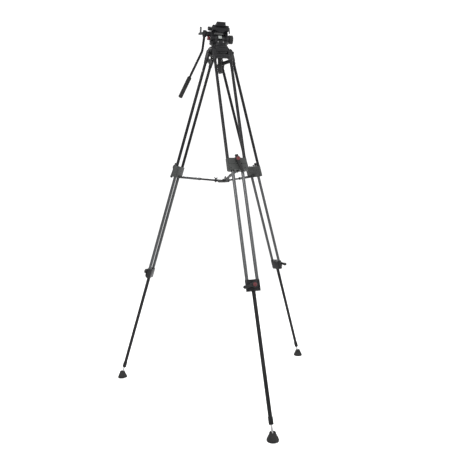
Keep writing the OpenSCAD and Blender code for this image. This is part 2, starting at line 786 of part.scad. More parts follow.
module plate_lock_knob() {
  x0 = -deck_half_w - slide;
  color(black) on_axis() translate([0, lock_y, lock_z]) {
    rod_x(knob_stud_r, x0 - 1, -deck_half_w + knob_stud_in - 1);
    rod_x(knob_r - 2.5, x0 - 3, x0);
    rod_x(knob_r, x0 - knob_h - 3, x0 - 3);
  }
}

module plate_release_lever() {
  x0 = deck_half_w + slide;
  color(grey) on_axis() translate([0, release_y, release_z]) {
    rod_x(knob_stud_r, deck_half_w - knob_stud_in + 1, x0 + 1);
    rod_x(5.5, x0, x0 + 5);
    rotate([-8, 0, 0]) translate([x0 + 1, 0, 0]) blade(26, 9, 5);
  }
}

// ---------- pan handle ----------

module handle_clamp() {
  color(black) difference() {
    union() {
      on_axis() translate([0, 0, rosette_z]) {
        rod_x(rosette_r, -handle_x + clamp_r - 3, -rosette_face - slide);
        rod_x(7.5, -wing_x, -handle_x + clamp_r);
      }
      handle_frame() translate([0, 0, -clamp_len / 2]) cylinder(r = clamp_r, h = clamp_len);
    }
    handle_frame() translate([0, 0, -clamp_len]) cylinder(r = handle_r + seat, h = 2 * clamp_len);
    on_axis() translate([0, 0, rosette_z]) rod_x(wing_stud_r + fit, -wing_x - eps, -handle_x - handle_r - 0.8);
  }
}

module handle_wing() {
  x1 = -wing_x - slide;
  color(grey) on_axis() translate([0, 0, rosette_z]) {
    rod_x(wing_stud_r, x1 - 1, -handle_x - handle_r - 1.2);
    rod_x(6, x1 - 12, x1);
    rotate([0, 0, 0]) box(x1 - 13, x1 - 3, -3.5, 3.5, -7, 4);
    translate([x1 - 8, 0, 0]) rotate([0, 8, 0]) box(-4.5, 4.5, -3.5, 3.5, 0, 28);
    box(x1 - 19, x1 - 12, -3.5, 3.5, -7, 2);
  }
}

module handle_tube() {
  knuckle_r = handle_r + 0.6;
  color(black) difference() {
    union() {
      handle_frame() {
        translate([0, 0, -handle_top_len]) cylinder(r = handle_r, h = handle_top_len + clamp_len / 2 + 2);
        translate([0, 0, -handle_top_len]) sphere(r = knuckle_r);
      }
      handle_low_frame() translate([0, 0, -handle_low_len + 3.2])
        cylinder(r = handle_r, h = handle_low_len - 3.2);
    }
    handle_frame() translate([0, 0, -handle_top_len + 10])
      cylinder(r = handle_r - handle_wall, h = handle_top_len + clamp_len);
    handle_low_frame() translate([0, 0, -handle_low_len])
      cylinder(r = handle_r - handle_wall, h = handle_low_len - 10);
  }
}

module handle_grip() {
  color(dark) handle_low_frame() difference() {
    translate([0, 0, -handle_low_len]) cylinder(r = grip_r, h = grip_len);
    translate([0, 0, -handle_low_len + 3]) cylinder(r = handle_r + seat, h = grip_len);
  }
}

// ---------- drawing ----------

crown();
hinge_bolts();
spreader_hub();
clamp_washer();
leveling_ball();
tie_down_handle();
pan_housing();
pan_lock_knob();
tilt_axle();
level_window();
tilt_lock_knob();
counterbalance_knob();
tilt_cradle();
camera_plate();
camera_screw();
plate_lock_knob();
plate_release_lever();
handle_clamp();
handle_wing();
handle_tube();
handle_grip();
leg_yoke(0);  // leg_yoke_front
upper_tubes(0);  // upper_tubes_front
mid_clamp(0);  // mid_clamp_front
mid_lever(0);  // mid_lever_front
middle_tubes(0);  // middle_tubes_front
lower_clamp(0);  // lower_clamp_front
lower_lever(0);  // lower_lever_front
lower_tube(0);  // lower_tube_front
ankle(0);  // ankle_front
foot_pad(0);  // foot_pad_front
arm_sleeve(0);  // arm_sleeve_front
arm_rod(0);  // arm_rod_front
arm_wing(0);  // arm_wing_front
leg_yoke(1);  // leg_yoke_right
upper_tubes(1);  // upper_tubes_right
mid_clamp(1);  // mid_clamp_right
mid_lever(1);  // mid_lever_right
middle_tubes(1);  // middle_tubes_right
lower_clamp(1);  // lower_clamp_right
lower_lever(1);  // lower_lever_right
lower_tube(1);  // lower_tube_right
ankle(1);  // ankle_right
foot_pad(1);  // foot_pad_right
arm_sleeve(1);  // arm_sleeve_right
arm_rod(1);  // arm_rod_right
arm_wing(1);  // arm_wing_right
leg_yoke(2);  // leg_yoke_left
upper_tubes(2);  // upper_tubes_left
mid_clamp(2);  // mid_clamp_left
mid_lever(2);  // mid_lever_left
middle_tubes(2);  // middle_tubes_left
lower_clamp(2);  // lower_clamp_left
lower_lever(2);  // lower_lever_left
lower_tube(2);  // lower_tube_left
ankle(2);  // ankle_left
foot_pad(2);  // foot_pad_left
arm_sleeve(2);  // arm_sleeve_left
arm_rod(2);  // arm_rod_left
arm_wing(2);  // arm_wing_left
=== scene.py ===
# %% [markdown]
# # Twin-tube tripod with a fluid head
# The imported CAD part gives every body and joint. This notebook dresses it: each step makes one kind of piece
# in the row frame, in metres, and lets it ride on its body.

# %% Load the frame
import bpy
import bmesh
import json
from math import radians, cos, sin, tan, pi, atan2, hypot
from mathutils import Matrix, Vector


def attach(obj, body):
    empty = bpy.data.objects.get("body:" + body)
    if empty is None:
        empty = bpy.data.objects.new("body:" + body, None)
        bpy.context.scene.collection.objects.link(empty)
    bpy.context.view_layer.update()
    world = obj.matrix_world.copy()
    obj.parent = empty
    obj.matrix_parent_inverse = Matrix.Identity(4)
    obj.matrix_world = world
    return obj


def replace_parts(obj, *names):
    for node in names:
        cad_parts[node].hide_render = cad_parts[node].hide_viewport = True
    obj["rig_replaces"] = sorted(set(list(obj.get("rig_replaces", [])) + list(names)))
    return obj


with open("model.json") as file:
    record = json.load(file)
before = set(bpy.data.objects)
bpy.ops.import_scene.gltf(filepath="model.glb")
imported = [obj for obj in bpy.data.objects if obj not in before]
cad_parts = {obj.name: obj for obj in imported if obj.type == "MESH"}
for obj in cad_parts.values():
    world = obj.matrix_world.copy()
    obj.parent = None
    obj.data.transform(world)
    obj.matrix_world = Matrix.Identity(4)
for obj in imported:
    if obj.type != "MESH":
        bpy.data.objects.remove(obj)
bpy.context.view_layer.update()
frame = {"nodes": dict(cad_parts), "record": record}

# %% [markdown]
# ## Frames of the legs, arms and handle
# The legs repeat every 120 degrees, so each piece is drawn once in its own frame and placed three times.
# These matrices are the CAD part's own frames, in metres: a leg has -Z down the leg and +X outwards.

# %% Shared frames
MM = 0.001
LEGS = {"front": -90, "right": 30, "left": 150}
AXIS_Y, HINGE_Z, HINGE_R = 0.1411612, 1.576601, 0.042
LEAN = radians(18.56)
UPPER, MIDDLE, LOWER = 0.574, 0.520, 0.548
RIM_Z = HINGE_Z + 0.0314
TILT_Z = RIM_Z + 0.036
DECK_Z = TILT_Z + 0.025
DECK_TOP = DECK_Z + 0.023
FOOT_R = 0.5646446


def shift(x=0, y=0, z=0):
    return Matrix.Translation((x, y, z))


def turn(angle, axis):
    return Matrix.Rotation(radians(angle), 4, axis)


CENTRE = shift(0, AXIS_Y, 0)
LEG = {n: shift(0, AXIS_Y, HINGE_Z) @ turn(a, "Z") @ shift(HINGE_R) @ turn(-18.56, "Y") for n, a in LEGS.items()}
ALONG_X = turn(90, "Y")
ALONG_Y = turn(-90, "X")
print("front ankle at", [round(v, 4) for v in (LEG["front"] @ Vector((0, 0, -UPPER - MIDDLE - LOWER)))])

# %% [markdown]
# ## Making meshes
# Each helper returns a closed bmesh in its own frame: a lathe for turned parts, a block and a slab with
# softened edges for milled and moulded ones. `piece` merges them, sets the shading and hangs the result on
# its body. Small real bevels catch the light, which is what makes the castings read as metal.

# %% Mesh helpers
def lathe(points, steps=48, closed=False):
    """Spins (radius, height) points round Z; a closed profile makes a ring."""
    bm = bmesh.new()
    verts = [bm.verts.new((r, 0, z)) for r, z in points]
    edges = [bm.edges.new(p) for p in zip(verts, verts[1:])]
    if closed:
        edges.append(bm.edges.new((verts[-1], verts[0])))
    bmesh.ops.spin(bm, geom=verts + edges, cent=(0, 0, 0), axis=(0, 0, 1), angle=2 * pi, steps=steps,
                   use_merge=True, use_duplicate=False)
    bmesh.ops.remove_doubles(bm, verts=bm.verts, dist=1e-6)
    return bm


def bar(r, z0, z1, soft=0.0005, steps=48):
    """A round bar with rounded rims."""
    soft = min(soft, r * 0.45, abs(z1 - z0) * 0.45)
    q = soft * 0.3
    return lathe([(0, z0), (r - soft, z0), (r - q, z0 + q), (r, z0 + soft), (r, z1 - soft), (r - q, z1 - q),
                  (r - soft, z1), (0, z1)], steps)


def pipe(r, wall, z0, z1, soft=0.0003, steps=40):
    """A hollow tube with broken edges."""
    i = r - wall
    return lathe([(i + soft, z0), (r - soft, z0), (r, z0 + soft), (r, z1 - soft), (r - soft, z1),
                  (i + soft, z1), (i, z1 - soft), (i, z0 + soft)], steps, closed=True)


def soften(bm, width, segments=2, over=30):
    """Rounds every edge sharper than `over` degrees."""
    edges = [e for e in bm.edges if len(e.link_faces) == 2 and e.calc_face_angle(0) > radians(over)]
    if edges and width > 0:
        bmesh.ops.bevel(bm, geom=edges, offset=width, offset_type="OFFSET", segments=segments, profile=0.5,
                        affect="EDGES", clamp_overlap=True, material=-1)
    return bm


def block(x0, x1, y0, y1, z0, z1, soft=0.001, segments=3):
    """A rectangular block with rounded edges."""
    bm = bmesh.new()
    m = shift((x0 + x1) / 2, (y0 + y1) / 2, (z0 + z1) / 2) @ Matrix.Diagonal((x1 - x0, y1 - y0, z1 - z0, 1))
    bmesh.ops.create_cube(bm, size=1, matrix=m)
    return soften(bm, min(soft, 0.45 * min(x1 - x0, y1 - y0, z1 - z0)), segments)


def slab(outline, z0, z1, soft=0.001, segments=2):
    """A flat outline given thickness along Z, with rounded edges."""
    bm = bmesh.new()
    face = bm.faces.new([bm.verts.new((x, y, z0)) for x, y in outline])
    grown = bmesh.ops.extrude_face_region(bm, geom=[face])
    bmesh.ops.translate(bm, vec=(0, 0, z1 - z0), verts=[g for g in grown["geom"] if isinstance(g, bmesh.types.BMVert)])
    bmesh.ops.recalc_face_normals(bm, faces=bm.faces)
    return soften(bm, soft, segments)


def put(bm, *moves):
    """Moves a bmesh by the product of the matrices."""
    m = Matrix.Identity(4)
    for step in moves:
        m = m @ step
    bmesh.ops.transform(bm, matrix=m, verts=bm.verts)
    return bm


def arc(cx, cy, r, a0, a1, n=8):
    return [(cx + r * cos(radians(a0 + (a1 - a0) * k / n)), cy + r * sin(radians(a0 + (a1 - a0) * k / n)))
            for k in range(n + 1)]


SLOT_OF = {s["node"]: s["material_slot"] for s in frame["record"]["subparts"]}
BODY_OF = {n: b for b, ns in frame["record"]["behaviour"]["bodies"].items() for n in ns}
MADE = []


def piece(name, body, slot, parts, replaces=(), sharp=35):
    """Joins closed parts into one object that rides on a CAD body and takes a material slot's finish."""
    mesh = bpy.data.meshes.new(name)
    whole = bmesh.new()
    for part in parts:
        bmesh.ops.recalc_face_normals(part, faces=part.faces)
        part.to_mesh(mesh)
        whole.from_mesh(mesh)
        part.free()
    whole.to_mesh(mesh)
    whole.free()
    mesh.shade_smooth()
    mesh.set_sharp_from_angle(angle=radians(sharp))
    ob = bpy.data.objects.new(name, mesh)
    bpy.context.scene.collection.objects.link(ob)
    mesh.materials.append(MATERIAL[slot])
    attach(ob, body)
    if replaces:
        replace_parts(ob, *replaces)
    MADE.append(ob)
    return ob


def from_node(node, width=0.0005, over=35, segments=2):
    """The CAD node's own shape with its sharp edges rounded: bores and fits stay where they are."""
    bm = bmesh.new()
    bm.from_mesh(frame["nodes"][node].data)
    bmesh.ops.remove_doubles(bm, verts=bm.verts, dist=2e-6)
    bmesh.ops.dissolve_limit(bm, angle_limit=radians(0.6), verts=bm.verts, edges=bm.edges)
    return soften(bm, width, segments, over)


print("mesh helpers ready")

# %% [markdown]
# ## Finishes
# Three small node groups carry the effects that several finishes share: a fine cast or moulded grain, a drawn
# metal's lengthwise lines, and scattered dust and handling marks with a slow change of shade. They read Object
# coordinates, so a finish stays fixed on its piece. Each material mixes them in its own strength.

# %% Shared effect groups
def new_group(name, inputs, outputs):
    g = bpy.data.node_groups.new(name, "ShaderNodeTree")
    for label, value in inputs:
        s = g.interface.new_socket(name=label, in_out="INPUT", socket_type="NodeSocketFloat")
        s.default_value = value
    for label, kind in outputs:
        g.interface.new_socket(name=label, in_out="OUTPUT", socket_type=kind)
    return g, g.nodes.new("NodeGroupInput"), g.nodes.new("NodeGroupOutput")


def noise(tree, vector, scale, detail=4.0, rough=0.6):
    n = tree.nodes.new("ShaderNodeTexNoise")
    n.inputs["Scale"].default_value = scale
    n.inputs["Detail"].default_value = detail
    n.inputs["Roughness"].default_value = rough
    tree.links.new(vector, n.inputs["Vector"])
    return n.outputs["Fac"]


def spread(tree, value, low, high, out_low=0.0, out_high=1.0):
    m = tree.nodes.new("ShaderNodeMapRange")
    for label, v in (("From Min", low), ("From Max", high), ("To Min", out_low), ("To Max", out_high)):
        m.inputs[label].default_value = v
    tree.links.new(value, m.inputs["Value"])
    return m.outputs["Result"]


def maths(tree, op, a, b):
    m = tree.nodes.new("ShaderNodeMath")
    m.operation = op
    for k, v in enumerate((a, b)):
        if isinstance(v, (int, float)):
            m.inputs[k].default_value = v
        else:
            tree.links.new(v, m.inputs[k])
    return m.outputs["Value"]


def grain_group():
    """Fine cast or moulded texture: a height and a speckle mask."""
    g, gi, go = new_group("Grain", [("Scale", 900.0)], [("Height", "NodeSocketFloat"), ("Speckle", "NodeSocketFloat")])
    co = g.nodes.new("ShaderNodeTexCoord").outputs["Object"]
    fine = g.nodes.new("ShaderNodeTexNoise")
    fine.inputs["Detail"].default_value = 3.0
    g.links.new(gi.outputs["Scale"], fine.inputs["Scale"])
    g.links.new(co, fine.inputs["Vector"])
    g.links.new(fine.outputs["Fac"], go.inputs["Height"])
    g.links.new(spread(g, fine.outputs["Fac"], 0.56, 0.72), go.inputs["Speckle"])
    return g


def marks_group():
    """Handling marks and dust: broad soft patches broken by finer ones."""
    g, gi, go = new_group("Marks", [("Scale", 18.0)], [("Mask", "NodeSocketFloat"), ("Shade", "NodeSocketFloat")])
    co = g.nodes.new("ShaderNodeTexCoord").outputs["Object"]
    broad = g.nodes.new("ShaderNodeTexNoise")
    broad.inputs["Detail"].default_value = 6.0
    broad.inputs["Roughness"].default_value = 0.65
    g.links.new(gi.outputs["Scale"], broad.inputs["Scale"])
    g.links.new(co, broad.inputs["Vector"])
    patches = spread(g, broad.outputs["Fac"], 0.48, 0.7)
    fine = spread(g, noise(g, co, 210.0, 5.0, 0.7), 0.4, 0.7)
    g.links.new(maths(g, "MULTIPLY", patches, fine), go.inputs["Mask"])
    g.links.new(spread(g, noise(g, co, 5.0, 2.0, 0.5), 0.3, 0.7), go.inputs["Shade"])
    return g


def drawn_group():
    """Lines drawn along Z, the tubes' rough direction: stretched noise."""
    g, gi, go = new_group("Drawn", [("Stretch", 0.02)], [("Height", "NodeSocketFloat")])
    co = g.nodes.new("ShaderNodeTexCoord").outputs["Object"]
    mapping = g.nodes.new("ShaderNodeMapping")
    combine = g.nodes.new("ShaderNodeCombineXYZ")
    combine.inputs["X"].default_value = 1.0
    combine.inputs["Y"].default_value = 1.0
    g.links.new(gi.outputs["Stretch"], combine.inputs["Z"])
    g.links.new(combine.outputs["Vector"], mapping.inputs["Scale"])
    g.links.new(co, mapping.inputs["Vector"])
    g.links.new(noise(g, mapping.outputs["Vector"], 1300.0, 2.0, 0.5), go.inputs["Height"])
    return g


GRAIN, MARKS, DRAWN = grain_group(), marks_group(), drawn_group()
print("groups", [g.name for g in (GRAIN, MARKS, DRAWN)])

# %% [markdown]
# ## Materials
# One material per slot of the record. The colour runs between three shades through the effect masks, so no
# surface is one flat colour; the grain drives the bump and the marks roughen the shine.

# %% Materials
def mix_colour(tree, factor, a, b):
    m = tree.nodes.new("ShaderNodeMix")
    m.data_type = "RGBA"
    for socket, v in ((m.inputs[6], a), (m.inputs[7], b)):
        if isinstance(v, tuple):
            socket.default_value = (*v, 1.0)
        else:
            tree.links.new(v, socket)
    tree.links.new(factor, m.inputs[0])
    return m.outputs[2]


def finish_material(name, base, shade, dust, rough, rough_marks, metal=0.0, coat=0.0, grain=900.0, bump=0.15,
                    drawn=False, marks=18.0, height=0.0002, shine=0.3):
    mat = bpy.data.materials.new(name)
    mat.use_nodes = True
    t = mat.node_tree
    bsdf = t.nodes["Principled BSDF"]
    bsdf.inputs["Metallic"].default_value = metal
    bsdf.inputs["Coat Weight"].default_value = coat
    bsdf.inputs["Coat Roughness"].default_value = 0.25
    bsdf.inputs["Specular IOR Level"].default_value = shine
    g = t.nodes.new("ShaderNodeGroup")
    g.node_tree = GRAIN
    g.inputs["Scale"].default_value = grain
    m = t.nodes.new("ShaderNodeGroup")
    m.node_tree = MARKS
    m.inputs["Scale"].default_value = marks
    colour = mix_colour(t, m.outputs["Shade"], base, shade)
    t.links.new(mix_colour(t, maths(t, "MULTIPLY", m.outputs["Mask"], 0.5), colour, dust), bsdf.inputs["Base Color"])
    t.links.new(spread(t, m.outputs["Mask"], 0.0, 1.0, rough, rough_marks), bsdf.inputs["Roughness"])
    b = t.nodes.new("ShaderNodeBump")
    b.inputs["Strength"].default_value = bump
    b.inputs["Distance"].default_value = height
    relief = g.outputs["Height"]
    if drawn:
        d = t.nodes.new("ShaderNodeGroup")
        d.node_tree = DRAWN
        relief = d.outputs["Height"]
    t.links.new(relief, b.inputs["Height"])
    t.links.new(b.outputs["Normal"], bsdf.inputs["Normal"])
    return mat


MATERIAL = {
    "black_paint": finish_material("black_paint", (0.005, 0.005, 0.006), (0.009, 0.009, 0.010), (0.028, 0.028, 0.028),
                                   0.36, 0.55, coat=0.03, grain=1400.0, bump=0.35, shine=0.16),
    "black_anodised": finish_material("black_anodised", (0.008, 0.008, 0.009), (0.013, 0.013, 0.014),
                                      (0.035, 0.035, 0.035), 0.28, 0.45, metal=0.35, drawn=True, bump=0.12, shine=0.12),
    "grey_anodised": finish_material("grey_anodised", (0.048, 0.049, 0.051), (0.064, 0.066, 0.068), (0.10, 0.10, 0.10),
                                     0.32, 0.5, metal=0.85, drawn=True, bump=0.12),
    "casting_grey": finish_material("casting_grey", (0.024, 0.025, 0.025), (0.034, 0.036, 0.035), (0.07, 0.07, 0.068),
                                    0.5, 0.68, grain=1100.0, bump=0.45, shine=0.2),
    "steel": finish_material("steel", (0.27, 0.27, 0.275), (0.33, 0.33, 0.33), (0.25, 0.245, 0.235), 0.24, 0.42, metal=1.0,
                             grain=2200.0, bump=0.06),
    "red_plastic": finish_material("red_plastic", (0.060, 0.005, 0.008), (0.085, 0.008, 0.011), (0.13, 0.055, 0.05),
                                   0.34, 0.5, coat=0.15, grain=1600.0, bump=0.1),
    "black_plastic": finish_material("black_plastic", (0.007, 0.007, 0.008), (0.012, 0.012, 0.012),
                                     (0.04, 0.04, 0.04), 0.48, 0.66, grain=1800.0, bump=0.4, shine=0.2),
    "rubber": finish_material("rubber", (0.008, 0.008, 0.008), (0.014, 0.014, 0.014), (0.055, 0.053, 0.05), 0.72, 0.9,
                              grain=1500.0, bump=0.5, marks=30.0, shine=0.2),
    "level_glass": finish_material("level_glass", (0.24, 0.26, 0.25), (0.32, 0.34, 0.32), (0.42, 0.42, 0.40), 0.12, 0.3,
                                   coat=0.4, grain=1500.0, bump=0.03),
}
print("materials", len(MATERIAL))

# %% [markdown]
# ## Leg tubes
# Drawn aluminium, open inside, with broken edges. The upper and middle pairs are 14 mm; the single lower tube
# is 16 mm and ends in a pressed collar that holds the ankle's stem.

# %% Tubes and collars
UPPER_GAP, MIDDLE_GAP = 0.03772, 0.0217
TUBE_END = -(UPPER + MIDDLE + LOWER) + 0.036
COLLAR = [(4.45, 0), (9.0, 0), (9.7, 0.7), (9.7, 4.6), (9.2, 5.1), (9.2, 6.3), (9.7, 6.8), (9.7, 20.2), (9.2, 20.7),
          (9.2, 21.9), (9.7, 22.4), (9.7, 25.6), (9.1, 27), (8.2, 27), (8.05, 26.6), (8.05, 2.2), (4.45, 2.2)]
for n, m in LEG.items():
    for kind, body, gap, z0, z1 in (("upper_tubes", "leg_", UPPER_GAP, -UPPER - 0.018, -0.014),
                                    ("middle_tubes", "middle_", MIDDLE_GAP, -UPPER - MIDDLE - 0.018, -UPPER + 0.0265)):
        node = f"{kind}_{n}"
        pair = [put(pipe(0.007, 0.0013, z0, z1), m, shift(0, s * gap, 0)) for s in (-1, 1)]
        piece(node + ".pair", body + n, SLOT_OF[node], pair, [node])
    node = "lower_tube_" + n
    single = put(pipe(0.008, 0.0013, TUBE_END + 0.0022, -UPPER - MIDDLE + 0.022), m)
    collar = put(lathe([(r * MM, z * MM) for r, z in COLLAR], 48, closed=True), m, shift(0, 0, TUBE_END))
    piece(node + ".bar", "lower_" + n, SLOT_OF[node], [single, collar], [node])
print("tubes: 3 pairs above, 3 pairs in the middle, 3 single")

# %% [markdown]
# ## Clamp levers
# Each clamp has a moulded lever on a stud: a round hub, a tapering blade with a raised spine and a red domed
# cap. The mid clamp's lever also has a short stub above its hub. They're drawn flat and stood up so that their
# thickness points away from the leg.

# %% Levers
STAND = Matrix(((0, 0, 1, 0), (1, 0, 0, 0), (0, 1, 0, 0), (0, 0, 0, 1)))


def blade_outline(length, root, waist, tip):
    side = [(root, 0.0), (root * 0.96, -0.2 * length), (waist, -0.45 * length), (waist, -0.6 * length)]
    end = arc(0, -length + tip, tip, 0, -180, 12)
    return [(x * MM, y * MM) for x, y in side + end + [(-x, y) for x, y in reversed(side)]]


def lever_parts(place, hub_in, length, stub):
    def at(x):
        return place @ shift(x * MM)
    parts = [put(bar(0.004, 0, 0.0065, 0.0003, 24), at(hub_in - 6.3), ALONG_X),
             put(bar(0.0115, 0, 0.013, 0.0012, 48), at(hub_in), ALONG_X),
             put(slab(blade_outline(length, 7.0, 5.6, 7.0), 0, 0.009, 0.0016, 3), at(hub_in + 2), STAND),
             put(slab([(x * MM, y * MM) for x, y in ((1.6, -13), (1.1, -length + 8), (-1.1, -length + 8), (-1.6, -13))],
                      0, 0.001, 0.0004, 2), at(hub_in + 10.8), STAND)]
    if stub:
        top = [(x * MM, y * MM) for x, y in ((6.6, 4), (7.0, 21), (-7.0, 21), (-6.6, 4))]
        parts.append(put(slab(top, 0, 0.009, 0.0018, 3), at(hub_in + 2), STAND))
        parts += [put(block(-0.0058, 0.0058, y * MM, (y + 1.2) * MM, 0, 0.0008, 0.0003, 2), at(hub_in + 10.9), STAND)
                  for y in (12.5, 15.3, 18.1)]
    return parts


CAP = [(0, 0), (8.2, 0), (8.4, 0.4), (8.2, 1.4), (7.5, 2.0), (6.9, 2.0), (6.5, 1.6), (6.0, 1.6), (5.6, 2.1), (4.2, 2.7),
       (2.6, 2.9), (2.4, 2.4), (0, 2.4)]
for n, m in LEG.items():
    for kind, where, hub_in, length, stub in (
            ("mid_lever", m @ shift(0, 0, -UPPER + 0.017) @ turn(13, "X"), 16.8, 54, True),
            ("lower_lever", m @ shift(0, 0, -UPPER - MIDDLE) @ turn(-80, "X"), 15.8, 48, False)):
        node = f"{kind}_{n}"
        piece(node + ".moulding", node, "black_plastic", lever_parts(where, hub_in, length, stub), [node])
        cap = put(lathe([(r * MM, z * MM) for r, z in CAP], 48), where @ shift((hub_in + 13) * MM), ALONG_X)
        piece(node + ".red_cap", node, "red_plastic", [cap])
print("levers: 6, each with a red cap")

# %% [markdown]
# ## Feet
# A moulded rubber pad: a ribbed sole, a flared skirt and a cup round the steel ankle ball. The cup stays hollow
# so the ball and its stem can lean in it.

# %% Foot pads
PAD = [(0, 0), (5.0, 0), (5.5, 0.9), (7.2, 0.9), (7.7, 0), (11.6, 0), (12.1, 0.9), (13.8, 0.9), (14.3, 0), (21.4, 0),
       (22.5, 0.5), (23.0, 1.5), (23.0, 2.3), (22.4, 2.7), (22.4, 3.2), (23.0, 3.6), (23.0, 5.0), (22.3, 5.8),
       (21.6, 6.4), (21.5, 8.0), (20.6, 11.0), (19.2, 14.0), (17.6, 16.6), (17.2, 17.2), (17.2, 17.9), (16.7, 18.4),
       (15.6, 21.0), (15.2, 21.5), (15.2, 22.2), (14.7, 22.7), (13.6, 26.0), (12.3, 31.0), (11.7, 31.8),
       (10.9, 32.0), (10.4, 31.7), (6.95, 24.2), (7.15, 23.9), (7.95, 21.6), (8.15, 20.0), (7.9, 18.0), (7.1, 16.0),
       (5.7, 14.2), (4.0, 12.9), (2.0, 12.1), (0, 11.9)]
for n, a in LEGS.items():
    base = CENTRE @ turn(a, "Z") @ shift(FOOT_R)
    pad = put(lathe([(r * MM, z * MM) for r, z in PAD], 64), base)
    piece(f"foot_pad_{n}.moulding", "pad_" + n, "rubber", [pad], ["foot_pad_" + n])
print("pads 46 mm across")

# %% [markdown]
# ## Pan handle
# One tube bent near the top, with a grooved rubber grip that slips over its end. The tube is swept along its
# centre line with a soft bend; the grip is turned round the lower stretch.

# %% Handle and grip
def sweep(points, radius, steps=32):
    """A closed round bar along a line of points."""
    bm = bmesh.new()
    rings, side = [], Vector((0, 1, 0))
    for k, p in enumerate(points):
        ahead = (points[min(k + 1, len(points) - 1)] - points[max(k - 1, 0)]).normalized()
        across = side.cross(ahead).normalized()
        rings.append([bm.verts.new(p + radius * (cos(2 * pi * j / steps) * across + sin(2 * pi * j / steps) * side))
                      for j in range(steps)])
    for a, b in zip(rings, rings[1:]):
        for j in range(steps):
            bm.faces.new((a[j], a[(j + 1) % steps], b[(j + 1) % steps], b[j]))
    bm.faces.new(rings[0])
    bm.faces.new(list(reversed(rings[-1])))
    return bm


HANDLE = CENTRE @ shift(-0.068, 0, TILT_Z + 0.020) @ turn(43.3, "X")
HANDLE_LOW = HANDLE @ shift(0, 0, -0.083) @ turn(18.5, "Y")
bend, reach, radius = radians(18.5), 0.0098, 0.060
path = [Vector((0, 0, 0.015)), Vector((0, 0, -0.03))]
for k in range(11):
    t = bend * k / 10
    path.append(Vector((-radius * (1 - cos(t)), 0, -0.083 + reach - radius * sin(t))))
low = Vector((-sin(bend), 0, -cos(bend)))
path += [Vector((0, 0, -0.083)) + low * s for s in (0.06, 0.16, 0.2588)]
tube = put(sweep(path, 0.006), HANDLE)
piece("handle_tube.bar", "handle", "black_anodised", [tube], ["handle_tube"])
GRIP = [(6.1, -117 + 3.4), (4.0, -117 + 3.2), (0.0, -117 + 3.2)]
outer = [(0, -117), (8.6, -117), (10.2, -116.2), (10.8, -114.8), (10.8, -110), (10.2, -109.2)]
for k in range(15):
    z = -107 + k * 6.4
    outer += [(10.4, z), (10.6, z + 1.0), (10.6, z + 4.2), (10.3, z + 4.8), (9.8, z + 5.2), (9.8, z + 5.9)]
outer += [(10.2, -9.5), (10.6, -8.5), (10.6, -4.0), (9.8, -1.0), (8.6, 0), (6.4, 0), (6.05, -0.4), (6.05, -113.6),
          (0, -113.6)]
grip = put(lathe([(r * MM, z * MM) for r, z in outer], 48), HANDLE_LOW, shift(0, 0, -0.145))
piece("handle_grip.moulding", "handle", "rubber", [grip], ["handle_grip"])
print("handle", round(0.083 + 0.262, 3), "m along its line")

# %% [markdown]
# ## Knobs
# Moulded knobs have flutes for the fingers. Each is drawn as a lobed outline, given thickness, and finished with
# a turned cap with a recessed centre. The steel tilt axle is drawn between them.

# %% Knobs and axle
def fluted(r, lobes, depth, fine=6):
    pts = []
    for k in range(lobes * fine):
        a = 2 * pi * k / (lobes * fine)
        pts.append(((r - depth * (0.5 - 0.5 * cos(lobes * a)) ** 2) * MM * cos(a),
                    (r - depth * (0.5 - 0.5 * cos(lobes * a)) ** 2) * MM * sin(a)))
    return pts


def knob_parts(place, r, height, lobes, depth, neck_r, neck):
    return [put(bar(neck_r * MM, 0, (neck + 1) * MM, 0.0004), place),
            put(slab(fluted(r, lobes, depth), neck * MM, height * MM, 0.0011, 3), place),
            put(lathe([(p * MM, (height + q) * MM) for p, q in
                       ((0, -2), (r * 0.72, -2), (r * 0.72, -0.1), (r * 0.66, 0.3), (r * 0.34, 0.3), (r * 0.3, -0.5), (0, -0.5))]),
                place)]


ALONG_MINUS_X = turn(-90, "Y")
axis = CENTRE @ shift(0, 0, TILT_Z)
piece("tilt_axle.bar", "pan", "steel", [put(bar(0.006, -0.0235, 0.0235, 0.0004), axis, ALONG_X)], ["tilt_axle"])
piece("counterbalance_knob.moulding", "counterbalance", "black_plastic",
      knob_parts(axis @ shift(0.0443) @ ALONG_X, 19.5, 21.4, 24, 0.9, 14.5, 2.7), ["counterbalance_knob"])
piece("tilt_lock_knob.moulding", "tilt_lock", "red_plastic",
      knob_parts(axis @ shift(-0.0443) @ ALONG_MINUS_X, 8.6, 11.7, 10, 0.8, 6.2, 1.2), ["tilt_lock_knob"])
piece("plate_lock_knob.moulding", "plate_lock", "black_plastic",
      knob_parts(CENTRE @ shift(-0.0388, -0.016, DECK_Z + 0.014) @ ALONG_MINUS_X, 8.5, 16.7, 12, 0.8, 6.0, 3.0)
      + [put(bar(0.003, -0.0082, 0.001, 0.0003, 24), CENTRE, shift(-0.0388, -0.016, DECK_Z + 0.014), ALONG_MINUS_X)],
      ["plate_lock_knob"])
LOCK = CENTRE @ shift(0, 0.0313, RIM_Z + 0.0145) @ ALONG_Y
piece("pan_lock_knob.moulding", "pan_lock", "black_plastic",
      knob_parts(LOCK, 6.5, 13.7, 10, 0.7, 4.5, 3.3) + [put(bar(0.003, -0.0082, 0.001, 0.0003, 24), LOCK)],
      ["pan_lock_knob"])
print("knobs: 4")
